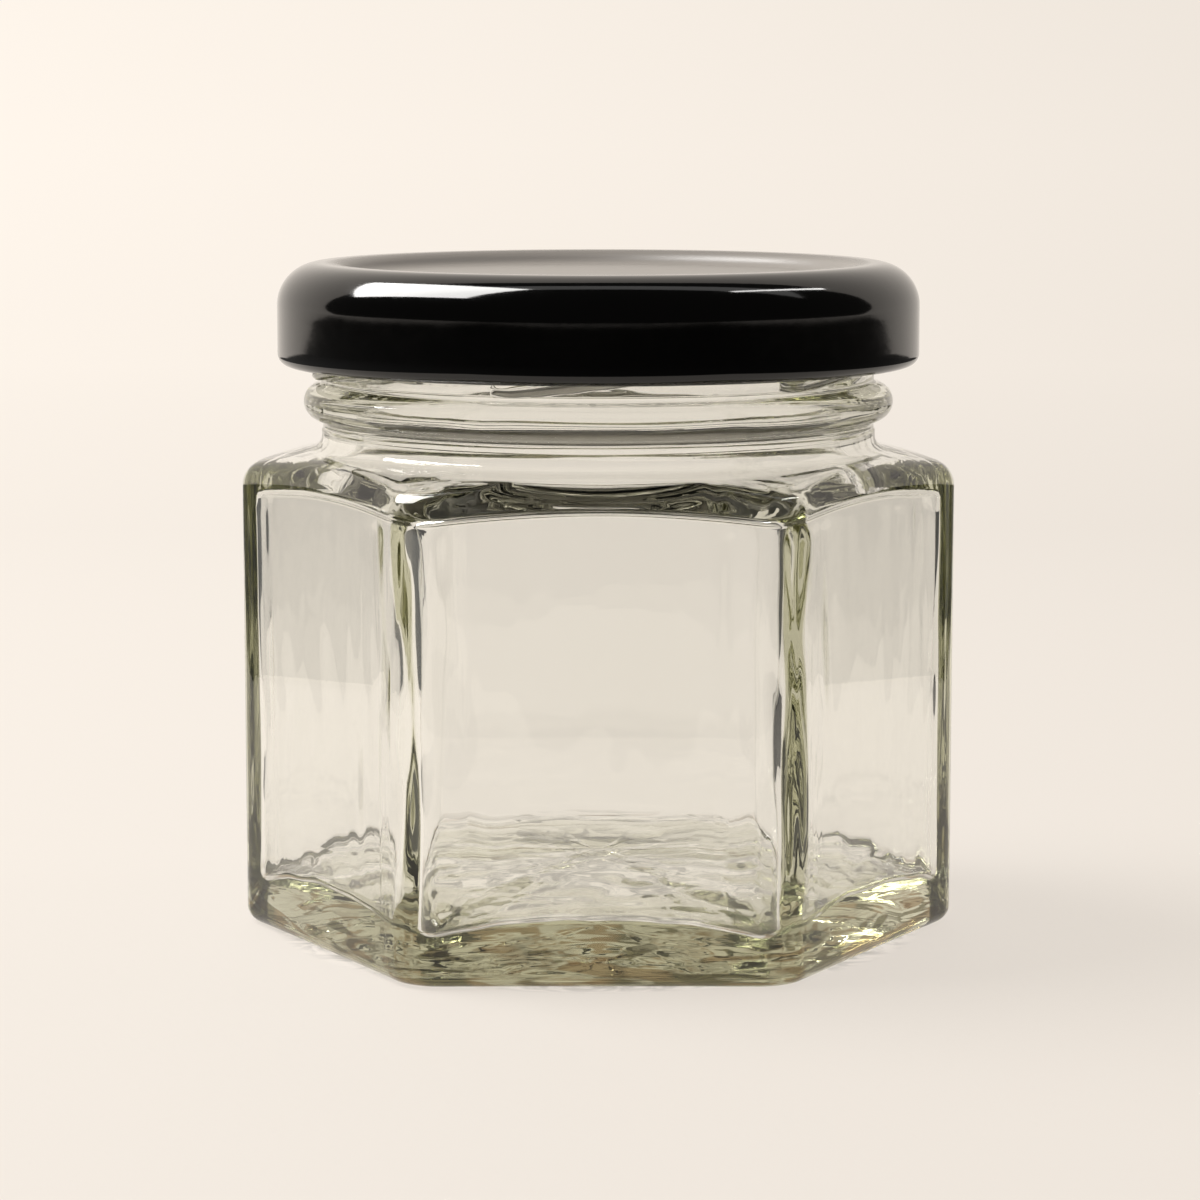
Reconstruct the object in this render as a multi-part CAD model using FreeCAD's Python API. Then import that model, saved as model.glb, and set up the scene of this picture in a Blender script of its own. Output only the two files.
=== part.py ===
"""Hexagonal glass jar with a lug cap: a small empty jar, closed.

Three solids, one STEP file each in parts/:
  glass_jar  the blown glass, with its thread ribs, transfer bead and hollow
  lid        the tinplate cap, with its rolled edge and lugs
  lid_seal   the moulded ring under the cap's rim, which bears on the glass

Frame: millimetres, +Z up, origin on the table under the jar's axis.
A flat side of the hexagon faces -Y, and two of its corners lie on the X axis.
Heights are stacked from the table up: sides, shoulder, neck, bead, rim, cap.
"""

import FreeCAD, Part
import math
import os

Vector = FreeCAD.Vector

# ---- Glass body --------------------------------------------------------------
ACROSS_FLATS = 45.0  # outside, between two opposite sides
CORNER_RADIUS = 3.4  # upright edges, outside
SIDE_HEIGHT = 33.9  # table to the shoulder, above the middle of a side
WALL = 2.4  # sides and shoulder
INNER_CORNER_RADIUS = 1.8  # upright edges of the hollow
HEEL_RADIUS = 1.1  # where the sides turn into the base
SHOULDER_SLOPE = 15.0  # degrees below level
SHOULDER_RADIUS = 1.9  # where the sides turn into the shoulder
INNER_SHOULDER_RADIUS = 1.2  # the same, in the hollow
THROAT_RADIUS = 1.0  # hollow curve from the shoulder into the neck

# ---- Glass base --------------------------------------------------------------
FLOOR_MIDDLE = 5.6  # table to the top of the domed floor
FLOOR_FALL = 1.5  # from there to its edge at the middle of a side
FLOOR_POWER = 5  # how sharply it falls on towards the corners
FLOOR_RADIUS = 0.6  # between the floor and the sides of the hollow
PUNT_RADIUS = 16.5  # shallow hollow under the base
PUNT_DEPTH = 1.3

# ---- Neck, bead and rim ------------------------------------------------------
NECK_RADIUS = 19.6
NECK_WALL = 2.4
MOULD_LINE_RISE = 0.4  # from the throat to the joint of the mould
MOULD_LINE_STEP = 0.1  # the neck is this much wider below the joint
BEAD_RISE = 2.0  # from the joint to the middle of the transfer bead
BEAD_PROUD = 1.37  # how far the bead stands out of the neck
BEAD_SECTION = 1.3  # radius of its round section
BEAD_ROOT_RADIUS = 0.4
FINISH_HEIGHT = 8.1  # from the middle of the bead to the sealing rim
RIM_ROUNDING = 0.8

# ---- Thread ribs -------------------------------------------------------------
THREAD_STARTS = 6
THREAD_LEAD = 14.0  # rise in a full turn
THREAD_TURN = 64.0  # degrees from a rib's low end to its high end
THREAD_SECTION = 0.6  # radius of a rib's round section
THREAD_END_ROUNDING = 0.5
THREAD_PROUD = 1.0  # how far a rib stands out of the neck
THREAD_GAP = 0.3  # between a rib's low end and the bead
THREAD_LOW_ANGLE = -108.0  # degrees from +X to the first rib's low end

# ---- Cap ---------------------------------------------------------------------
SHEET = 0.25  # lacquered tinplate
CAP_EDGE_GAP = 1.3  # between the rolled edge and the bead
CAP_SIDE_GAP = 0.55  # between the rolled edge and the ribs
CAP_SHOULDER = 3.0  # outer radius from the skirt to the rim
CREST_WIDTH = 0.8  # level top of the rim
PANEL_DEPTH = 1.0  # sunk middle, below the rim
STEP_RADIUS = 0.8  # both bends of the step down to the panel
CURL_RADIUS = 0.7  # rolled edge
CURL_TURN = 290.0  # degrees
LUG_WIDTH = 11.0  # degrees round the cap
LUG_RISE = 0.12  # from the bottom of the rolled edge to the lug
LUG_THICKNESS = 0.62
LUG_BITE = 0.6  # how far a lug reaches in behind a rib's crest
LUG_GAP = 0.05  # between a lug and the rib above it

# ---- Seal --------------------------------------------------------------------
SEAL_THICKNESS = 1.45  # from the glass rim to the underside of the cap's rim
SEAL_OVERHANG = 0.9  # past the outside of the neck
SEAL_GAP = 0.03  # between the seal and the cap

# ---- Worked out --------------------------------------------------------------
APOTHEM = ACROSS_FLATS / 2
INNER_APOTHEM = APOTHEM - WALL
CORNER_REACH = APOTHEM / math.cos(math.radians(30))
INNER_REACH = INNER_APOTHEM / math.cos(math.radians(30))
LOWER_NECK_RADIUS = NECK_RADIUS + MOULD_LINE_STEP
BORE_RADIUS = NECK_RADIUS - NECK_WALL
THREAD_CREST = NECK_RADIUS + THREAD_PROUD
CURL_OUTSIDE = CURL_RADIUS + SHEET / 2
CAP_RADIUS = THREAD_CREST + CAP_SIDE_GAP + 2 * CURL_OUTSIDE
FULL_TURN = 360.0


# ---- Small helpers, all in the (radius, height) plane -------------------------
def spot(point):
    return Vector(point[0], 0, point[1])


def path(points):
    """Straight edges from point to point; points that coincide give none."""
    pairs = zip(points, points[1:])
    return [Part.makeLine(spot(a), spot(b)) for a, b in pairs if math.dist(a, b) > 1e-7]


def on_circle(centre, radius, angle):
    a = math.radians(angle)
    return (centre[0] + radius * math.cos(a), centre[1] + radius * math.sin(a))


def bend(centre, radius, start, end):
    """An arc run from one angle to the other, in degrees from outwards."""
    stops = [on_circle(centre, radius, a) for a in (start, (start + end) / 2, end)]
    return Part.Arc(*[spot(p) for p in stops]).toShape()


def turned(edges, degrees=FULL_TURN):
    """The closed outline that the edges make, turned round the jar's axis."""
    face = Part.Face(Part.Wire(edges))
    return face.revolve(Vector(0, 0, 0), Vector(0, 0, 1), degrees)


def about_axis(shape, angle):
    copy = shape.copy()
    copy.rotate(Vector(0, 0, 0), Vector(0, 0, 1), angle)
    return copy


def one_solid(shape):
    return shape.removeSplitter().Solids[0]


# ---- Shoulder and stacked heights --------------------------------------------
def shoulder_height(radius):
    """The outside of the shoulder, a cone that rises towards the neck."""
    return SIDE_HEIGHT + (APOTHEM - radius) * math.tan(math.radians(SHOULDER_SLOPE))


def inner_shoulder_height(radius):
    return shoulder_height(radius) - WALL / math.cos(math.radians(SHOULDER_SLOPE))


def throat(neck, radius, height_at):
    """The hollow curve between a shoulder cone and an upright neck: centre, foot, top."""
    middle = neck + radius
    lift = radius / math.cos(math.radians(SHOULDER_SLOPE))
    centre = (middle, height_at(middle) + lift)
    foot = on_circle(centre, radius, 270 - SHOULDER_SLOPE)
    return centre, foot, (neck, centre[1])


NECK_FOOT = throat(LOWER_NECK_RADIUS, THROAT_RADIUS, shoulder_height)[2][1]
MOULD_LINE = NECK_FOOT + MOULD_LINE_RISE
BEAD_HEIGHT = MOULD_LINE + BEAD_RISE
BEAD_TOP = BEAD_HEIGHT + BEAD_SECTION
RIM_HEIGHT = BEAD_HEIGHT + FINISH_HEIGHT
THREAD_LOW_END = BEAD_TOP + THREAD_GAP + THREAD_SECTION
CAP_BOTTOM = BEAD_TOP + CAP_EDGE_GAP
LUG_TOP = CAP_BOTTOM + LUG_RISE + LUG_THICKNESS
CAP_TOP = RIM_HEIGHT + SEAL_THICKNESS + SHEET


# ---- Glass -------------------------------------------------------------------
def hexagon(apothem, corner_radius, top):
    """An upright hexagonal bar with rounded upright edges, a side facing -Y."""
    reach = apothem / math.cos(math.radians(30))
    corners = [Vector(reach, 0, 0)]
    for i in range(1, 7):
        a = math.radians(60 * i)
        corners.append(Vector(reach * math.cos(a), reach * math.sin(a), 0))
    bar = Part.Face(Part.makePolygon(corners)).extrude(Vector(0, 0, top))
    upright = [e for e in bar.Edges if e.BoundBox.ZLength > top - 0.01]
    return bar.makeFillet(corner_radius, upright)


def outline_edges(body, apothem, height_at):
    """The edges where the sides of a hexagonal body meet a turned surface.

    height_at(radius) is that surface. Each edge runs between the middle of
    a side and a corner, so it lies between the heights there.
    """
    reach = apothem / math.cos(math.radians(30))
    low, high = sorted((height_at(apothem), height_at(reach)))
    found = []
    for edge in body.Edges:
        box = edge.BoundBox
        middle = edge.valueAt((edge.FirstParameter + edge.LastParameter) / 2)
        outside = math.hypot(middle.x, middle.y) > apothem - 0.05
        if outside and box.ZMin > low - 0.05 and box.ZMax < high + 0.05:
            found.append(edge)
    return found


def bead():
    """The transfer bead's outline: low root, round, high root, and where it leaves the neck."""
    centre = (NECK_RADIUS + BEAD_PROUD - BEAD_SECTION, BEAD_HEIGHT)
    root_r = NECK_RADIUS + BEAD_ROOT_RADIUS
    reach = BEAD_SECTION + BEAD_ROOT_RADIUS
    rise = math.sqrt(reach**2 - (root_r - centre[0]) ** 2)
    lean = math.degrees(math.atan2(rise, root_r - centre[0]))
    low_root = bend((root_r, BEAD_HEIGHT - rise), BEAD_ROOT_RADIUS, 180, 180 - lean)
    high_root = bend((root_r, BEAD_HEIGHT + rise), BEAD_ROOT_RADIUS, 180 + lean, 180)
    round_part = bend(centre, BEAD_SECTION, -lean, lean)
    return [low_root, round_part, high_root], BEAD_HEIGHT - rise, BEAD_HEIGHT + rise


def outer_form():
    """Everything outside: a hexagonal bar trimmed by a turned shoulder and neck."""
    centre, foot, top = throat(LOWER_NECK_RADIUS, THROAT_RADIUS, shoulder_height)
    bead_edges, bead_low, bead_high = bead()
    clear = CORNER_REACH + 1
    edges = path([(0, 0), (clear, 0), (clear, shoulder_height(clear)), foot])
    edges.append(bend(centre, THROAT_RADIUS, 270 - SHOULDER_SLOPE, 180))
    edges += path([top, (LOWER_NECK_RADIUS, MOULD_LINE), (NECK_RADIUS, MOULD_LINE), (NECK_RADIUS, bead_low)])
    edges += bead_edges
    edges += path([(NECK_RADIUS, bead_high), (NECK_RADIUS, RIM_HEIGHT), (0, RIM_HEIGHT), (0, 0)])
    body = hexagon(APOTHEM, CORNER_RADIUS, RIM_HEIGHT + 1).common(turned(edges))
    body = body.makeFillet(SHOULDER_RADIUS, outline_edges(body, APOTHEM, shoulder_height))
    return body.makeFillet(HEEL_RADIUS, outline_edges(body, APOTHEM, lambda radius: 0.0))


def floor_height(radius):
    """The domed floor, which falls from its middle towards the corners."""
    return FLOOR_MIDDLE - FLOOR_FALL * (radius / INNER_APOTHEM) ** FLOOR_POWER


def hollow():
    """The space inside: an inner bar trimmed by the domed floor, shoulder and bore."""
    dome = Part.BSplineCurve()
    dome.interpolate([spot((r, floor_height(r))) for r in [INNER_REACH * i / 10 for i in range(11)]])
    radius = THROAT_RADIUS + WALL
    centre, foot, top = throat(BORE_RADIUS, radius, inner_shoulder_height)
    over = RIM_HEIGHT + 1
    edges = [dome.toShape()]
    edges += path([(INNER_REACH, floor_height(INNER_REACH)), (INNER_REACH, inner_shoulder_height(INNER_REACH)), foot])
    edges.append(bend(centre, radius, 270 - SHOULDER_SLOPE, 180))
    edges += path([top, (BORE_RADIUS, over), (0, over), (0, FLOOR_MIDDLE)])
    space = hexagon(INNER_APOTHEM, INNER_CORNER_RADIUS, over).common(turned(edges))
    space = space.makeFillet(FLOOR_RADIUS, outline_edges(space, INNER_APOTHEM, floor_height))
    return space.makeFillet(INNER_SHOULDER_RADIUS, outline_edges(space, INNER_APOTHEM, inner_shoulder_height))


def punt():
    """The shallow hollow under the base, a slice of a ball."""
    ball = (PUNT_RADIUS**2 + PUNT_DEPTH**2) / (2 * PUNT_DEPTH)
    return Part.makeSphere(ball, Vector(0, 0, PUNT_DEPTH - ball))


def rib():
    """One thread rib: a round bar along a helix, half sunk in the neck, with rounded ends."""
    middle = THREAD_CREST - THREAD_SECTION
    rise = THREAD_LEAD * THREAD_TURN / FULL_TURN
    helix = Part.makeHelix(THREAD_LEAD, rise, middle)
    section = Part.Wire(Part.makeCircle(THREAD_SECTION, spot((middle, 0)), Vector(0, 1, 0)))
    bar = Part.Wire(helix.Edges).makePipeShell([section], True, True)
    ends = [e for face in bar.Faces if face.Surface.TypeId == "Part::GeomPlane" for e in face.Edges]
    bar = bar.makeFillet(THREAD_END_ROUNDING, ends)
    bar.translate(Vector(0, 0, THREAD_LOW_END))
    return bar


def round_pattern(shape, first_angle):
    """Copies of a shape for each thread start, evenly round the axis."""
    return [about_axis(shape, first_angle + i * FULL_TURN / THREAD_STARTS) for i in range(THREAD_STARTS)]


def glass_jar():
    jar = outer_form().cut(hollow()).cut(punt())
    rims = [e for e in jar.Edges if e.BoundBox.ZMin > RIM_HEIGHT - 0.01]
    jar = jar.makeFillet(RIM_ROUNDING, rims)
    return one_solid(jar.multiFuse(round_pattern(rib(), THREAD_LOW_ANGLE)))


# ---- Cap ---------------------------------------------------------------------
def pressed_line(offset):
    """The cap's section without its rolled edge, from the axis down to the skirt's end.

    offset is measured outwards from the middle of the sheet.
    """
    half = SHEET / 2
    crest = CAP_TOP - half
    panel = crest - PANEL_DEPTH
    climb = math.degrees(math.acos(max(0.0, 1 - PANEL_DEPTH / (2 * STEP_RADIUS))))
    shoulder = (CAP_RADIUS - CAP_SHOULDER, CAP_TOP - CAP_SHOULDER)
    upper = (shoulder[0] - CREST_WIDTH, crest - STEP_RADIUS)
    lower = (upper[0] - 2 * STEP_RADIUS * math.sin(math.radians(climb)), panel + STEP_RADIUS)
    edges = path([(0, panel + offset), (lower[0], panel + offset)])
    edges.append(bend(lower, STEP_RADIUS - offset, -90, climb - 90))
    edges += path(
        [on_circle(lower, STEP_RADIUS - offset, climb - 90), on_circle(upper, STEP_RADIUS + offset, 90 + climb)]
    )
    edges.append(bend(upper, STEP_RADIUS + offset, 90 + climb, 90))
    edges += path([(upper[0], crest + offset), (shoulder[0], crest + offset)])
    edges.append(bend(shoulder, CAP_SHOULDER - half + offset, 90, 0))
    skirt = CAP_RADIUS - half + offset
    return edges + path([(skirt, shoulder[1]), (skirt, CAP_BOTTOM + CURL_OUTSIDE)])


def lug():
    """One lug: a folded tongue turned in from the rolled edge, to pass under a rib."""
    fold = LUG_THICKNESS / 2
    nose = (THREAD_CREST - LUG_BITE + fold, LUG_TOP - fold)
    root = CAP_RADIUS - CURL_OUTSIDE - CURL_RADIUS / 2
    low = LUG_TOP - LUG_THICKNESS
    edges = path([(root, low), (nose[0], low)])
    edges.append(bend(nose, fold, 270, 90))
    edges += path([(nose[0], LUG_TOP), (root, LUG_TOP), (root, low)])
    return turned(edges, LUG_WIDTH)


def lug_angle():
    """From a rib's low end to the lug that has been turned home under it, in degrees."""
    under = LUG_TOP + LUG_GAP + THREAD_SECTION - THREAD_LOW_END
    return under / THREAD_LEAD * FULL_TURN


def lid():
    curl = (CAP_RADIUS - CURL_OUTSIDE, CAP_BOTTOM + CURL_OUTSIDE)
    half = SHEET / 2
    edges = pressed_line(half) + [bend(curl, CURL_OUTSIDE, 0, -CURL_TURN)]
    ends = [on_circle(curl, radius, -CURL_TURN) for radius in (CURL_OUTSIDE, CURL_OUTSIDE - SHEET)]
    edges += path(ends)
    edges += [bend(curl, CURL_OUTSIDE - SHEET, -CURL_TURN, 0)] + pressed_line(-half)[::-1]
    middle = CAP_TOP - PANEL_DEPTH
    edges += path([(0, middle - SHEET), (0, middle)])
    return one_solid(turned(edges).multiFuse(round_pattern(lug(), THREAD_LOW_ANGLE + lug_angle())))


def lid_seal():
    """The ring in the channel under the cap's rim, level where the glass bears on it."""
    offset = -SHEET / 2 - SEAL_GAP
    top = pressed_line(offset)[:-1]
    middle = CAP_TOP - SHEET / 2 - PANEL_DEPTH + offset
    end = (CAP_RADIUS - SHEET / 2 + offset, CAP_TOP - CAP_SHOULDER)
    under_cap = turned(top + path([end, (0, end[1]), (0, middle)]))
    outside = NECK_RADIUS + SEAL_OVERHANG
    corners = [(BORE_RADIUS, RIM_HEIGHT), (outside, RIM_HEIGHT), (outside, CAP_TOP), (BORE_RADIUS, CAP_TOP)]
    return one_solid(turned(path(corners + corners[:1])).common(under_cap))


if __name__ == "__main__":
    os.makedirs("parts", exist_ok=True)
    glass_jar().exportStep("parts/glass_jar.step")
    lid().exportStep("parts/lid.step")
    lid_seal().exportStep("parts/lid_seal.step")
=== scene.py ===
"""Looks for the hexagonal glass jar: fine meshes, materials, light and camera.

Metres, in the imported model's frame: +Z up, the jar's axis on Z, a flat side
of the hexagon towards -Y. Lengths below are in millimetres and scaled once.
"""

import math
from collections import namedtuple

import bmesh
import bpy
import numpy as np
from mathutils import Matrix, Vector, noise


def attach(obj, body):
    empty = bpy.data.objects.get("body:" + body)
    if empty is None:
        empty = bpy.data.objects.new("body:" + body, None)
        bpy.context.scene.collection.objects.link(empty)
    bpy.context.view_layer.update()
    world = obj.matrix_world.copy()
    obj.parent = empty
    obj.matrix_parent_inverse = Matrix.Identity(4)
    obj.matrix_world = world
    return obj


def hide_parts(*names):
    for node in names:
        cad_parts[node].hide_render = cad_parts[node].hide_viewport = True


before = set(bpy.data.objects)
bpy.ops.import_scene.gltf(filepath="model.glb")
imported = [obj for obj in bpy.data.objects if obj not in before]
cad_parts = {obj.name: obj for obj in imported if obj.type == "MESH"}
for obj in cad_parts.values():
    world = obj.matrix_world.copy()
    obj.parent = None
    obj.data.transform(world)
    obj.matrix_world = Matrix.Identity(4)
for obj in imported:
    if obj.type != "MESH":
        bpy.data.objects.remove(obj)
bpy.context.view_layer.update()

MM = 0.001
SECTORS = 6
CORNER_STEPS = 26  # round each upright edge
SIDE_STEPS = 26  # round each flat side

# The jar, as in the CAD model but for a tighter inner shoulder
APOTHEM = 22.5
CORNER_RADIUS = 3.4
SIDE_HEIGHT = 33.9
WALL = 2.4
INNER_CORNER_RADIUS = 1.8
HEEL_RADIUS = 1.1
SLOPE = math.radians(15.0)
SHOULDER_RADIUS = 1.9
INNER_SHOULDER_RADIUS = 0.7
THROAT_RADIUS = 1.0
FLOOR_MIDDLE = 5.6
FLOOR_FALL = 1.5
FLOOR_POWER = 5
FLOOR_RADIUS = 0.6
PUNT_RADIUS = 16.5
PUNT_DEPTH = 1.3
PUNT_LIP = 0.2  # how far the punt's edge is eased, on either side
PUNT_LIP_SLOPE = 0.05
NECK = 19.6
BORE = 17.2
LINE_RISE = 0.4
LINE_STEP = 0.1
LINE_PROUD = 0.02
LINE_NEAR = 0.06  # heights of the mould line's own rows, from its middle
LINE_FAR = 0.16
BEAD_RISE = 2.0
BEAD_PROUD = 1.37
BEAD_SECTION = 1.3
BEAD_ROOT = 0.4
FINISH_HEIGHT = 8.1
RIM_ROUNDING = 0.8
RIB_GAP = 0.3
RIB_LEAD = 14.0
RIB_TURN = 64.0
RIB_SECTION = 0.6
RIB_PROUD = 1.0
RIB_FIRST = -108.0
RIB_COUNT = 6

# The cap, as in the CAD model but for a wider step down to the panel
SHEET = 0.25
CAP_EDGE_GAP = 1.3
CAP_SIDE_GAP = 0.55
CAP_SHOULDER = 3.0
CREST_WIDTH = 0.8
PANEL_DEPTH = 1.0
STEP_RADIUS = 1.5
CURL_RADIUS = 0.7
CURL_TURN = 290.0
LUG_WIDTH = 11.0
LUG_RISE = 0.12
LUG_THICKNESS = 0.62
LUG_BITE = 0.6
LUG_GAP = 0.05

# The seal
SEAL_THICKNESS = 1.45
SEAL_OVERHANG = 0.9
SEAL_GAP = 0.03

# How the pressed glass waves on its inside: each wave's height and length, a seed, and how
# many times longer it is upwards
Wave = namedtuple("Wave", "height length seed stretch")
BORE_WAVE = Wave(0.06, 5.0, 3.1, 1.0)
SHOULDER_WAVE = Wave(0.08, 4.0, 7.7, 1.0)
SHOULDER_EDGE_WAVE = Wave(0.07, 4.0, 9.2, 1.0)
SIDE_STREAKS = Wave(0.03, 1.7, 1.3, 6.0)
SIDE_BROAD = Wave(0.06, 6.0, 5.9, 2.5)
CORNER_FINE = Wave(0.07, 0.7, 6.6, 9.0)
FLOOR_EDGE_WAVE = Wave(0.16, 2.2, 2.4, 1.0)
FLOOR_WAVE = Wave(0.14, 2.6, 4.8, 1.0)
FLOOR_BROAD = Wave(0.1, 6.0, 8.8, 1.0)
CORNER_STREAKS = 0.2  # what the streaks gain in height at an upright edge
SIDE_PINCH = 0.18  # how much thicker the wall is halfway up


def shoulder(r):
    return SIDE_HEIGHT + (APOTHEM - r) * math.tan(SLOPE)


def inner_shoulder(r):
    return shoulder(r) - WALL / math.cos(SLOPE)


# Heights stacked from the table up
NECK_FOOT = shoulder(NECK + LINE_STEP + THROAT_RADIUS) + THROAT_RADIUS / math.cos(SLOPE)
MOULD_LINE = NECK_FOOT + LINE_RISE
BEAD_HEIGHT = MOULD_LINE + BEAD_RISE
BEAD_TOP = BEAD_HEIGHT + BEAD_SECTION
RIM_HEIGHT = BEAD_HEIGHT + FINISH_HEIGHT
RIB_LOW_END = BEAD_TOP + RIB_GAP + RIB_SECTION
RIB_CREST = NECK + RIB_PROUD
CAP_BOTTOM = BEAD_TOP + CAP_EDGE_GAP
CAP_TOP = RIM_HEIGHT + SEAL_THICKNESS + SHEET
CAP_RADIUS = RIB_CREST + CAP_SIDE_GAP + 2 * CURL_RADIUS + SHEET
LUG_TOP = CAP_BOTTOM + LUG_RISE + LUG_THICKNESS


# ---- Meshes ------------------------------------------------------------------
def mesh_object(name, points, faces):
    mesh = bpy.data.meshes.new(name)
    mesh.from_pydata([tuple(p) for p in points], [], faces)
    mesh.polygons.foreach_set("use_smooth", [True] * len(mesh.polygons))
    mesh.update()
    piece = bpy.data.objects.new(name, mesh)
    bpy.context.scene.collection.objects.link(piece)
    return piece


def lathe(name, rows, angles, closed_section=False):
    """A skin over rows of (radius, height) arrays, one value for each angle.

    A first or last row of radius 0 becomes a single point. closed_section
    joins the last row back to the first, as in a ring.
    """
    n = len(angles)
    co, si = np.cos(angles), np.sin(angles)
    points, index = [], []
    for r, z in rows:
        r = np.broadcast_to(r, (n,))
        z = np.broadcast_to(z, (n,))
        if np.max(np.abs(r)) < 1e-9:
            index.append([len(points)] * n)
            points.append((0.0, 0.0, float(np.mean(z)) * MM))
        else:
            index.append(list(range(len(points), len(points) + n)))
            points += list(zip(r * co * MM, r * si * MM, z * MM))
    faces = []
    pairs = list(zip(index, index[1:]))
    if closed_section:
        pairs.append((index[-1], index[0]))
    for low, high in pairs:
        for i in range(n):
            j = (i + 1) % n
            ring = [low[i], low[j], high[j], high[i]]
            face = [v for k, v in enumerate(ring) if v not in ring[:k]]
            if len(face) > 2:
                faces.append(face)
    return mesh_object(name, points, faces)


def sector_angles():
    """Angles round the jar, closer together at the six corners, which start at +X."""
    edge = math.radians(9.0)
    one = np.concatenate([
        np.linspace(-edge, edge, CORNER_STEPS, endpoint=False),
        np.linspace(edge, math.radians(60) - edge, SIDE_STEPS, endpoint=False),
    ])
    return np.concatenate([one + math.radians(60) * k for k in range(SECTORS)])


def hexagon_radius(angles, apothem, corner):
    """Distance from the axis to a hexagon with rounded corners."""
    phi = np.mod(angles + math.radians(30), math.radians(60)) - math.radians(30)
    reach = (apothem - corner) / math.cos(math.radians(30))
    tangent = math.atan2(corner * 0.5, reach + corner * math.cos(math.radians(30)))
    flat = apothem / np.cos(math.radians(30) - np.abs(phi))
    inside = np.maximum(corner**2 - (reach * np.sin(phi)) ** 2, 0.0)
    rounded = reach * np.cos(phi) + np.sqrt(inside)
    return np.where(np.abs(phi) < tangent, rounded, flat)


def arc(centre_r, centre_z, radius, start, end, steps):
    """Points of an arc between two angles in degrees, both ends included."""
    out = []
    for a in np.linspace(math.radians(start), math.radians(end), steps):
        out.append((centre_r + radius * math.cos(a), centre_z + radius * math.sin(a)))
    return out


def straight(a, b, steps, skip_first=True):
    """Points of a straight line between two others."""
    out = []
    for t in np.linspace(0, 1, steps + 1)[1 if skip_first else 0:]:
        out.append((a[0] + (b[0] - a[0]) * t, a[1] + (b[1] - a[1]) * t))
    return out


def ripple(r, z, angles, wave):
    """Smooth noise from -1 to 1 on a row of points, of the wave's length, seed and stretch."""
    r = np.broadcast_to(r, angles.shape)
    z = np.broadcast_to(z, angles.shape)
    size, seed = wave.length, wave.seed
    out = np.empty(len(angles))
    for i, a in enumerate(angles):
        height = z[i] / size / wave.stretch + seed
        out[i] = noise.noise(Vector((r[i] * math.cos(a) / size + seed, r[i] * math.sin(a) / size, height)))
    return out


def rib_bulge(angles, z):
    """How far the thread ribs stand out of the neck at height z."""
    out = np.zeros(len(angles))
    middle = NECK + RIB_PROUD - RIB_SECTION
    for k in range(RIB_COUNT):
        start = math.radians(RIB_FIRST + k * 360.0 / RIB_COUNT)
        turn = np.mod(angles - start + math.radians(20), 2 * math.pi) - math.radians(20)
        turn_end = math.radians(RIB_TURN)
        along = np.clip(turn, 0, turn_end)
        beyond = np.abs(turn - along) * middle
        off = z - (RIB_LOW_END + RIB_LEAD * along / (2 * math.pi))
        inside = np.maximum(RIB_SECTION**2 - off**2 - beyond**2, 0.0)
        proud = np.where(inside > 0, middle + np.sqrt(inside) - NECK, 0.0)
        out = np.maximum(out, np.maximum(proud, 0.0))
    return out


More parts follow.
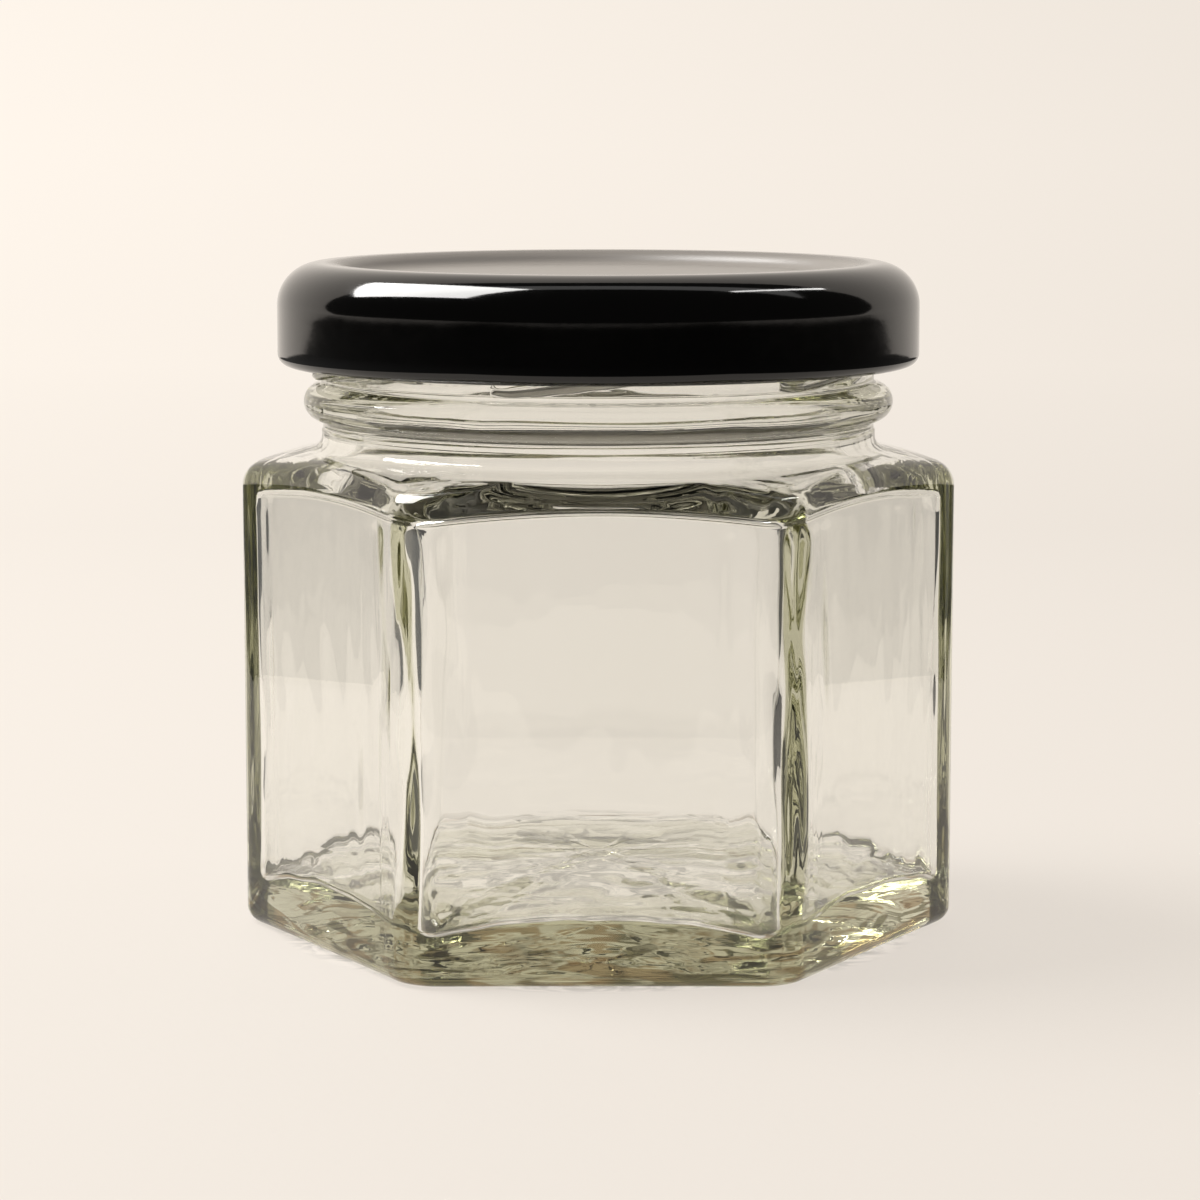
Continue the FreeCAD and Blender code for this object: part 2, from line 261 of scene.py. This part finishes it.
def jar_rows(angles):
    """The whole skin of the glass: base, outside, rim, inside, floor."""
    outer = hexagon_radius(angles, APOTHEM, CORNER_RADIUS)
    inner = hexagon_radius(angles, APOTHEM - WALL, INNER_CORNER_RADIUS)
    low, high = APOTHEM - WALL, (APOTHEM - WALL) / math.cos(math.radians(30))
    corner = np.clip((inner - low) / (high - low), 0, 1)
    level = np.ones_like(outer)
    rows = []
    ball = (PUNT_RADIUS**2 + PUNT_DEPTH**2) / (2 * PUNT_DEPTH)
    for r in np.linspace(0, PUNT_RADIUS - 3 * PUNT_LIP, 13):
        z = PUNT_DEPTH - ball + math.sqrt(ball**2 - r**2)
        rows.append((r * level, max(z, 0.0) * level))
    flat_from = PUNT_RADIUS + 1.0
    for r in (PUNT_RADIUS - PUNT_LIP, PUNT_RADIUS + PUNT_LIP, flat_from):
        z = max(0.0, (PUNT_RADIUS + PUNT_LIP - r) * PUNT_LIP_SLOPE)
        rows.append((r * level, z * level))
    for t in (0.35, 0.7):
        rows.append((flat_from + (outer - HEEL_RADIUS - flat_from) * t, 0.0 * level))
    for r, z in arc(0, HEEL_RADIUS, HEEL_RADIUS, -90, 0, 9):
        rows.append((outer - HEEL_RADIUS + r, z * level))
    side_top = shoulder(outer - SHOULDER_RADIUS) - SHOULDER_RADIUS / math.cos(SLOPE)
    for t in np.linspace(0, 1, 15)[1:-1]:
        rows.append((outer, HEEL_RADIUS + (side_top - HEEL_RADIUS) * t))
    for r, z in arc(0, 0, SHOULDER_RADIUS, 0, 75, 10):
        rows.append((outer - SHOULDER_RADIUS + r, side_top + z))
    leave = outer - SHOULDER_RADIUS * (1 - math.sin(SLOPE))
    lower_neck = NECK + LINE_STEP
    middle = lower_neck + THROAT_RADIUS
    foot = middle - THROAT_RADIUS * math.sin(SLOPE)
    for t in np.linspace(0, 1, 8)[1:-1]:
        r = leave + (foot - leave) * t
        rows.append((r, shoulder(r)))
    centre_z = shoulder(middle) + THROAT_RADIUS / math.cos(SLOPE)
    flat = [*arc(middle, centre_z, THROAT_RADIUS, 255, 180, 8)]
    flat += [(lower_neck, MOULD_LINE - LINE_FAR), (lower_neck + LINE_PROUD, MOULD_LINE - LINE_NEAR)]
    flat += [(lower_neck, MOULD_LINE)]
    flat += [(NECK + LINE_PROUD, MOULD_LINE + LINE_NEAR), (NECK, MOULD_LINE + LINE_FAR)]
    root_r = NECK + BEAD_ROOT
    bead_r = NECK + BEAD_PROUD - BEAD_SECTION
    rise = math.sqrt((BEAD_SECTION + BEAD_ROOT) ** 2 - (root_r - bead_r) ** 2)
    lean = math.degrees(math.atan2(rise, root_r - bead_r))
    flat += arc(root_r, BEAD_HEIGHT - rise, BEAD_ROOT, 180, 180 - lean, 5)
    flat += arc(bead_r, BEAD_HEIGHT, BEAD_SECTION, -lean, lean, 22)[1:-1]
    flat += arc(root_r, BEAD_HEIGHT + rise, BEAD_ROOT, 180 + lean, 180, 5)
    for r, z in flat:
        rows.append((r * level, z * level))
    rib_top = RIB_LOW_END + RIB_LEAD * RIB_TURN / 360 + RIB_SECTION
    for z in np.linspace(flat[-1][1] + 0.05, rib_top + 0.1, 44):
        rows.append((NECK + rib_bulge(angles, z), z * level))
    rim = [(NECK, RIM_HEIGHT - 2 * RIM_ROUNDING)]
    rim += arc(NECK - RIM_ROUNDING, RIM_HEIGHT - RIM_ROUNDING, RIM_ROUNDING, 0, 90, 8)
    rim += arc(BORE + RIM_ROUNDING, RIM_HEIGHT - RIM_ROUNDING, RIM_ROUNDING, 90, 180, 8)
    for r, z in rim:
        rows.append((r * level, z * level))
    turn = THROAT_RADIUS + WALL
    centre = (BORE + turn, inner_shoulder(BORE + turn) + turn / math.cos(SLOPE))
    inside = straight((BORE, RIM_HEIGHT - RIM_ROUNDING), (BORE, centre[1]), 9)
    inside += arc(*centre, turn, 180, 255, 12)[1:]
    for r, z in inside:
        wave = BORE_WAVE.height * ripple(r, z, angles, BORE_WAVE)
        rows.append((r + wave, z * level))
    foot = inside[-1][0]
    fillet = INNER_SHOULDER_RADIUS
    wall_top = inner_shoulder(inner - fillet) - fillet / math.cos(SLOPE)
    leave = inner - fillet * (1 - math.sin(SLOPE))
    for t in np.linspace(0, 1, 9)[1:-1]:
        r = foot + (leave - foot) * t
        wave = SHOULDER_WAVE.height * ripple(r, inner_shoulder(r), angles, SHOULDER_WAVE)
        rows.append((r, inner_shoulder(r) + wave))
    for r, z in arc(0, 0, fillet, 75, 0, 10):
        wave = SHOULDER_EDGE_WAVE.height * ripple(inner, wall_top + z, angles, SHOULDER_EDGE_WAVE)
        rows.append((inner - fillet + r + wave, wall_top + z))
    floor_r = FLOOR_RADIUS
    floor_edge = FLOOR_MIDDLE - FLOOR_FALL * ((inner - floor_r) / low) ** FLOOR_POWER
    bottom = floor_edge + floor_r
    for t in np.linspace(0, 1, 44)[1:-1]:
        z = wall_top + (bottom - wall_top) * t
        streaks = (SIDE_STREAKS.height + CORNER_STREAKS * corner) * ripple(inner, z, angles, SIDE_STREAKS)
        broad = SIDE_BROAD.height * ripple(inner, z, angles, SIDE_BROAD)
        fine = CORNER_FINE.height * corner * ripple(inner, z, angles, CORNER_FINE)
        rows.append((inner - SIDE_PINCH * math.sin(math.pi * t) + streaks + broad + fine, z))
    for r, z in arc(0, 0, floor_r, 0, -90, 9):
        wave = FLOOR_EDGE_WAVE.height * ripple(inner, bottom + z, angles, FLOOR_EDGE_WAVE)
        rows.append((inner - floor_r + r, bottom + z + wave))
    for t in np.linspace(0, 1, 24)[1:]:
        r = (inner - floor_r) * (1 - t)
        z = FLOOR_MIDDLE - FLOOR_FALL * (r / low) ** FLOOR_POWER
        wave = FLOOR_WAVE.height * ripple(r, z, angles, FLOOR_WAVE)
        wave = wave + FLOOR_BROAD.height * ripple(r, z, angles, FLOOR_BROAD)
        rows.append((r, z + wave * (1 - 0.5 * t)))
    return rows


def cap_line(offset):
    """The cap's section from the axis to the skirt's end, offset from the middle of the sheet."""
    half = SHEET / 2
    crest = CAP_TOP - half
    panel = crest - PANEL_DEPTH
    climb = math.degrees(math.acos(1 - PANEL_DEPTH / (2 * STEP_RADIUS)))
    edge = CAP_RADIUS - CAP_SHOULDER
    upper = (edge - CREST_WIDTH, crest - STEP_RADIUS)
    lower = (upper[0] - 2 * STEP_RADIUS * math.sin(math.radians(climb)), panel + STEP_RADIUS)
    line = straight((0, panel + offset), (lower[0], panel + offset), 6, skip_first=False)[:-1]
    line += arc(*lower, STEP_RADIUS - offset, -90, climb - 90, 10)
    line += arc(*upper, STEP_RADIUS + offset, 90 + climb, 90, 10)[1:]
    line += arc(edge, CAP_TOP - CAP_SHOULDER, CAP_SHOULDER - half + offset, 90, 0, 22)
    skirt = CAP_RADIUS - half + offset
    return line + straight((skirt, CAP_TOP - CAP_SHOULDER), (skirt, CAP_BOTTOM + CURL_RADIUS + half), 6)


def cap_rows():
    """The outside down to the end of the rolled edge, and the inside back up to the axis."""
    half = SHEET / 2
    curl = (CAP_RADIUS - CURL_RADIUS - half, CAP_BOTTOM + CURL_RADIUS + half)
    outside = cap_line(half) + arc(*curl, CURL_RADIUS + half, 0, -CURL_TURN, 24)[1:]
    inside = arc(*curl, CURL_RADIUS - half, -CURL_TURN, 0, 18) + cap_line(-half)[::-1][1:]
    return outside, inside


def lug_points(first_angle):
    """One lug's skin: its folded nose's section, turned through its width."""
    fold = LUG_THICKNESS / 2
    nose = (RIB_CREST - LUG_BITE + fold, LUG_TOP - fold)
    root = CAP_RADIUS - CURL_RADIUS * 1.5 - SHEET / 2
    section = [(root, LUG_TOP - LUG_THICKNESS), *arc(*nose, fold, 270, 90, 9), (root, LUG_TOP)]
    turns = np.radians(first_angle + np.linspace(0, LUG_WIDTH, 7))
    points = [(r * math.cos(a) * MM, r * math.sin(a) * MM, z * MM) for a in turns for r, z in section]
    n = len(section)
    faces = [list(range(n)), [n * (len(turns) - 1) + k for k in reversed(range(n))]]
    for i in range(len(turns) - 1):
        this, following = n * i, n * (i + 1)
        for k in range(n):
            beside = (k + 1) % n
            faces.append([this + k, following + k, following + beside, this + beside])
    return points, faces


def add_lugs(piece):
    """Join the six lugs to the cap, one under each thread rib."""
    under = LUG_TOP + LUG_GAP + RIB_SECTION - RIB_LOW_END
    first = RIB_FIRST + under / RIB_LEAD * 360
    mesh = bmesh.new()
    mesh.from_mesh(piece.data)
    for k in range(RIB_COUNT):
        points, faces = lug_points(first + k * 360 / RIB_COUNT)
        corners = [mesh.verts.new(p) for p in points]
        for face in faces:
            mesh.faces.new([corners[v] for v in face])
    mesh.to_mesh(piece.data)
    mesh.free()


def seal_rows():
    """The ring's section: its top follows the cap's underside, its bottom lies on the glass rim."""
    outside = NECK + SEAL_OVERHANG
    top = [(r, z) for r, z in cap_line(-SHEET / 2 - SEAL_GAP) if BORE < r < outside and z > RIM_HEIGHT + 0.1]
    return [(outside, RIM_HEIGHT), (BORE, RIM_HEIGHT), (BORE, top[0][1])] + top + [(outside, top[-1][1])]


# ---- Materials ---------------------------------------------------------------
class Finish:
    """A new material, with short ways to add the nodes that this script uses."""

    def __init__(self, name):
        self.material = bpy.data.materials.new(name)
        self.material.use_nodes = True
        self.nodes = self.material.node_tree.nodes
        self.links = self.material.node_tree.links
        self.skin = self.nodes["Principled BSDF"]

    def put(self, socket, value):
        """Link another node's output to an input, or set the input to a number or a colour."""
        if isinstance(value, bpy.types.NodeSocket):
            self.links.new(value, socket)
        elif socket.type == "RGBA":
            socket.default_value = (*value, 1.0)
        else:
            socket.default_value = value

    def set_skin(self, **values):
        """Set inputs of the surface, named with _ for each space."""
        for key, value in values.items():
            self.put(self.skin.inputs[key.replace("_", " ")], value)

    def math(self, operation, a, b=0.0):
        node = self.nodes.new("ShaderNodeMath")
        node.operation = operation
        self.put(node.inputs[0], a)
        self.put(node.inputs[1], b)
        return node.outputs["Value"]

    def product(self, a, b):
        return self.math("MULTIPLY", a, b)

    def ramp(self, value, start, end, low=0.0, high=1.0):
        """value taken from start..end to low..high and held there beyond."""
        node = self.nodes.new("ShaderNodeMapRange")
        limits = {"From Min": start, "From Max": end, "To Min": low, "To Max": high}
        for key, number in limits.items():
            node.inputs[key].default_value = number
        self.put(node.inputs["Value"], value)
        return node.outputs["Result"]

    def noise(self, stretch, detail, distortion=0.0):
        """A noise texture on the piece's own metres, with its number of waves a metre on each axis."""
        place = self.nodes.new("ShaderNodeTexCoord")
        scale = self.nodes.new("ShaderNodeMapping")
        scale.inputs["Scale"].default_value = stretch
        tex = self.nodes.new("ShaderNodeTexNoise")
        tex.inputs["Scale"].default_value = 1.0
        tex.inputs["Detail"].default_value = detail
        tex.inputs["Distortion"].default_value = distortion
        self.links.new(place.outputs["Object"], scale.inputs["Vector"])
        self.links.new(scale.outputs["Vector"], tex.inputs["Vector"])
        return tex.outputs["Fac"]

    def position(self):
        """The point's x, y and z in metres, and its distance from the Z axis."""
        place = self.nodes.new("ShaderNodeTexCoord")
        parts = self.nodes.new("ShaderNodeSeparateXYZ")
        self.links.new(place.outputs["Object"], parts.inputs["Vector"])
        x, y, z = (parts.outputs[axis] for axis in "XYZ")
        squares = self.math("ADD", self.product(x, x), self.product(y, y))
        return x, y, z, self.math("POWER", squares, 0.5)

    def blend(self, factor, low, high):
        """A colour between two others."""
        node = self.nodes.new("ShaderNodeMix")
        node.data_type = "RGBA"
        colors = [socket for socket in node.inputs if socket.type == "RGBA"]
        factors = [socket for socket in node.inputs if socket.name == "Factor" and socket.type == "VALUE"]
        self.put(colors[0], low)
        self.put(colors[1], high)
        self.put(factors[0], factor)
        return next(socket for socket in node.outputs if socket.type == "RGBA")

    def bump(self, height, distance):
        node = self.nodes.new("ShaderNodeBump")
        node.inputs["Strength"].default_value = 1.0
        node.inputs["Distance"].default_value = distance
        self.put(node.inputs["Height"], height)
        self.set_skin(Normal=node.outputs["Normal"])


# Where the glass wrinkles or takes painted shade, in metres: each pair is where it starts and ends to fade
FLOOR_SKIN = (0.0058, 0.0072)
PAINTED_SHADE_BAND = (0.0026, 0.0044)
SHOULDER_SKIN = (0.0325, 0.0345)
INSIDE_RADII = (0.0206, 0.0214)
OUTSIDE_RADII = (0.0214, 0.0219)

WHITE = (1.0, 1.0, 1.0)
# The two colours below are painted shade, for dark streaks in the glass low on the base
OLIVE_PAINTED_SHADE = (0.11, 0.10, 0.05)
BROWN_PAINTED_SHADE = (0.36, 0.24, 0.13)


def glass_material():
    """Clear soda-lime glass, olive-tan in depth, with wrinkles from the mould and painted shade streaks low
    on the base.
    """
    glass = Finish("jar_glass")
    glass.set_skin(Roughness=0.0, IOR=1.52, Transmission_Weight=1.0)
    body = glass.nodes.new("ShaderNodeVolumeAbsorption")
    body.inputs["Color"].default_value = (0.60, 0.605, 0.40, 1.0)
    body.inputs["Density"].default_value = 40.0
    glass.links.new(body.outputs["Volume"], glass.nodes["Material Output"].inputs["Volume"])

    x, y, z, away = glass.position()
    # Painted shade: olive-to-brown streaks tinted into the base colour low on the outside of the base,
    # standing in for dark surroundings seen through the rippled glass
    in_painted_shade_band = glass.product(glass.ramp(z, *PAINTED_SHADE_BAND, 1.0, 0.0), glass.ramp(away, *OUTSIDE_RADII))
    painted_shade_pattern = glass.noise((130.0, 130.0, 750.0), detail=1.0, distortion=1.5)
    painted_shade_hue = glass.noise((300.0, 300.0, 500.0), detail=0.0)
    painted_shade_color = glass.blend(glass.ramp(painted_shade_hue, 0.45, 0.6), OLIVE_PAINTED_SHADE, BROWN_PAINTED_SHADE)
    painted_shade_mask = glass.product(glass.ramp(painted_shade_pattern, 0.47, 0.54), in_painted_shade_band)
    glass.set_skin(Base_Color=glass.blend(painted_shade_mask, WHITE, painted_shade_color))

    # Depths are shares of the bump's distance: upright streaks, mostly at the six edges, then
    # folds in the floor, then rings in the shoulder and neck
    sixfold = glass.math("COSINE", glass.product(glass.math("ARCTAN2", y, x), float(SECTORS)))
    at_edges = glass.ramp(sixfold, 0.6, 0.95)
    streak_depth = glass.ramp(at_edges, 0.0, 1.0, 0.02, 0.30)
    in_floor = glass.product(glass.ramp(z, *FLOOR_SKIN, 1.0, 0.0), glass.ramp(away, *INSIDE_RADII, 1.0, 0.0))
    in_shoulder = glass.ramp(z, *SHOULDER_SKIN)
    relief = glass.product(glass.noise((500.0, 500.0, 60.0), detail=1.0, distortion=0.5), streak_depth)
    for pattern, mask, depth in (
        (glass.noise((70.0, 150.0, 300.0), detail=0.0, distortion=2.2), in_floor, 0.2),
        (glass.noise((90.0, 90.0, 900.0), detail=0.5, distortion=0.8), in_shoulder, 0.12),
    ):
        relief = glass.math("ADD", relief, glass.product(glass.product(pattern, mask), depth))
    glass.bump(relief, 0.00035)
    return glass.material


def grained(name, color, roughness, scale, depth):
    """A plain coloured finish with a fine uneven surface and a slight change of gloss."""
    finish = Finish(name)
    grain = finish.noise((scale, scale, scale), detail=3.0)
    gloss = finish.ramp(grain, 0.3, 0.7, roughness * 0.85, roughness * 1.15)
    finish.set_skin(Base_Color=color, IOR=1.5, Roughness=gloss)
    finish.bump(grain, depth)
    return finish, gloss


def lacquer_material():
    """Gloss black, duller on the sunk panel, where a painted grey reflection lifts its colour."""
    black, painted_reflection_grey = (0.0004, 0.0004, 0.0004), (0.17, 0.155, 0.14)
    extra_roughness = 0.3
    lacquer, gloss = grained("lid_black_lacquer", black, 0.08, 900.0, 0.000003)
    away = lacquer.position()[3]
    panel = (CAP_RADIUS - CAP_SHOULDER - CREST_WIDTH) * MM
    # Painted reflection: the sunk panel is rougher and its colour is lifted to grey, standing in for the
    # light backdrop it mirrors
    dull_and_painted_reflection = lacquer.ramp(away, panel - 0.001, panel + 0.0005, extra_roughness, 0.0)
    color = lacquer.blend(lacquer.product(dull_and_painted_reflection, 3.3), black, painted_reflection_grey)
    lacquer.set_skin(Roughness=lacquer.math("ADD", gloss, dull_and_painted_reflection), Base_Color=color)
    return lacquer.material


def inside_material():
    return grained("lid_inside_lacquer", (0.55, 0.53, 0.48), 0.3, 700.0, 0.000004)[0].material


def seal_material():
    return grained("seal_compound", (0.5, 0.48, 0.45), 0.55, 1400.0, 0.00001)[0].material


# ---- The pieces --------------------------------------------------------------
angles = sector_angles()
jar = lathe("jar_glass", jar_rows(angles), angles)
jar.data.materials.append(glass_material())
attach(jar, "root")
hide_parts("glass_jar")

round_angles = np.linspace(0, 2 * math.pi, 192, endpoint=False)
outside, inside = cap_rows()
cap = lathe("lid_cap", outside + inside, round_angles)
cap.data.materials.append(lacquer_material())
cap.data.materials.append(inside_material())
for face in cap.data.polygons:
    face.material_index = int(face.index >= len(outside) * len(round_angles))
add_lugs(cap)
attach(cap, "root")
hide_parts("lid")

seal = lathe("lid_seal_ring", seal_rows(), round_angles, closed_section=True)
seal.data.materials.append(seal_material())
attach(seal, "root")
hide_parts("lid_seal")

# ---- Floor and backdrop ------------------------------------------------------
PAPER_WIDTH = 2.4  # from the middle to either side
PAPER_FRONT = -1.6
PAPER_TOP = 2.2
BEND_FROM = 0.55
BEND_RADIUS = 0.5
PAPER_DROP = -0.00006  # so the paper and the glass that stands on it don't share one plane
PAINTED_SHADOW_RADII = (0.0195, 0.0235)  # painted shadow and caustic light in blotches inside these radii, for the base to mirror


def paper_mesh():
    """A sheet that lies flat, bends up behind the jar and ends upright."""
    section = [(y, PAPER_DROP) for y in (PAPER_FRONT, -0.8, -0.3, 0.0, 0.3)]
    for turn in np.radians(np.linspace(-90, 0, 25)):
        rise = PAPER_DROP + BEND_RADIUS * (1 + math.sin(turn))
        section.append((BEND_FROM + BEND_RADIUS * math.cos(turn), rise))
    section.append((BEND_FROM + BEND_RADIUS, PAPER_TOP))
    points, faces = [], []
    for y, z in section:
        points += [(-PAPER_WIDTH, y, z), (PAPER_WIDTH, y, z)]
    for i in range(len(section) - 1):
        faces.append((2 * i, 2 * i + 1, 2 * i + 3, 2 * i + 2))
    return mesh_object("studio_floor", points, faces)


def paper_material():
    """Warm white paper that glows evenly, with painted light brighter towards the back and the left, and
    painted shadow and caustic light blotched under the jar.
    """
    paper = Finish("studio_paper")
    paper.set_skin(Base_Color=(0.08, 0.074, 0.068), Roughness=0.8, Specular_IOR_Level=0.2)
    x, y, _, away = paper.position()
    # Painted light: the glow rises towards the back and the left, where the lamps fall
    glow_with_painted_light = paper.product(paper.ramp(y, 0.25, 0.75, 0.705, 0.865), paper.ramp(x, -0.2, 0.2, 1.09, 0.91))
    # Painted shadow and caustic light: under the jar the glow is blotched darker and brighter, for the base
    # to mirror
    painted_shadow_and_caustics = paper.ramp(paper.noise((260.0, 420.0, 1.0), detail=3.0, distortion=2.0), 0.42, 0.58, 0.35, 1.3)
    mixed = paper.nodes.new("ShaderNodeMix")
    paper.links.new(paper.ramp(away, *PAINTED_SHADOW_RADII), mixed.inputs["Factor"])
    paper.links.new(painted_shadow_and_caustics, mixed.inputs["A"])
    mixed.inputs["B"].default_value = 1.0
    strength = paper.product(glow_with_painted_light, mixed.outputs["Result"])
    paper.set_skin(Emission_Color=(1.0, 0.922, 0.835), Emission_Strength=strength)
    return paper.material


floor = paper_mesh()
floor.data.materials.append(paper_material())


# ---- Light -------------------------------------------------------------------
LIGHT_COLOR = (1.0, 0.985, 0.96)
JAR_MIDDLE = (0.0, 0.0, 0.03)
BACKDROP_MIDDLE = (0.0, 1.05, 0.4)
CARD_HEIGHT = 0.0006


def softbox(name, place, target, size, power, along=(1.0, 0.0, 0.0)):
    """A rectangular light facing target; its first size runs along the given direction."""
    light = bpy.data.lights.new(name, "AREA")
    light.shape = "RECTANGLE"
    light.size, light.size_y = size
    light.energy = power
    light.color = LIGHT_COLOR
    lamp = bpy.data.objects.new(name, light)
    back = (Vector(place) - Vector(target)).normalized()
    side = (Vector(along) - back * Vector(along).dot(back)).normalized()
    turned = Matrix((side, back.cross(side), back)).transposed().to_4x4()
    lamp.matrix_world = Matrix.Translation(place) @ turned
    bpy.context.scene.collection.objects.link(lamp)


def black_card(name, x_range, y_range, card_black):
    """A flat black card on the paper, out of the camera's sight, that darkens what the glass mirrors."""
    (x0, x1), (y0, y1) = x_range, y_range
    corners = [(x, y, CARD_HEIGHT) for x, y in ((x0, y0), (x1, y0), (x1, y1), (x0, y1))]
    card = mesh_object(name, corners, [(0, 1, 2, 3)])
    card.visible_camera = False
    card.data.materials.append(card_black)


softbox("light_left", (-0.32, 0.065, 0.47), JAR_MIDDLE, (0.40, 0.30), 6.8, along=(0.41, -0.80, 0.44))
softbox("light_right", (0.32, 0.08, 0.47), JAR_MIDDLE, (0.26, 0.03), 0.35, along=(-0.41, -0.80, 0.44))
softbox("light_back", (0.0, 0.1, 0.9), BACKDROP_MIDDLE, (1.8, 0.5), 2.6)

black = Finish("studio_black_card")
black.set_skin(Base_Color=(0.01, 0.01, 0.01), Roughness=0.9)
black_card("studio_card_front", (-1.0, 1.0), (-1.2, -0.12), black.material)
black_card("studio_card_left", (-1.0, -0.12), (-0.12, 0.35), black.material)
black_card("studio_card_right", (0.12, 1.0), (-0.12, 0.35), black.material)

world = bpy.data.worlds.new("studio_room")
world.use_nodes = True
room = world.node_tree.nodes["Background"]
room.inputs["Color"].default_value = (0.9, 0.86, 0.8, 1.0)
room.inputs["Strength"].default_value = 0.05
scene = bpy.context.scene
scene.world = world

# ---- Camera ------------------------------------------------------------------
PITCH_DOWN = 7.6
LIGHT_BOUNCES = 32  # light turns many times inside the thick corners

lens = bpy.data.cameras.new("photo_camera")
lens.sensor_width = 36.0
lens.lens = 117.9
lens.clip_start = 0.01
camera = bpy.data.objects.new("photo_camera", lens)
camera.location = (0.000115, -0.280, 0.0607)
camera.rotation_euler = (math.radians(90.0 - PITCH_DOWN), 0.0, 0.0)
scene.collection.objects.link(camera)
scene.camera = camera

scene.view_settings.view_transform = "Standard"
scene.cycles.max_bounces = LIGHT_BOUNCES
scene.cycles.transmission_bounces = LIGHT_BOUNCES
scene.cycles.glossy_bounces = LIGHT_BOUNCES
scene.cycles.transparent_max_bounces = 16
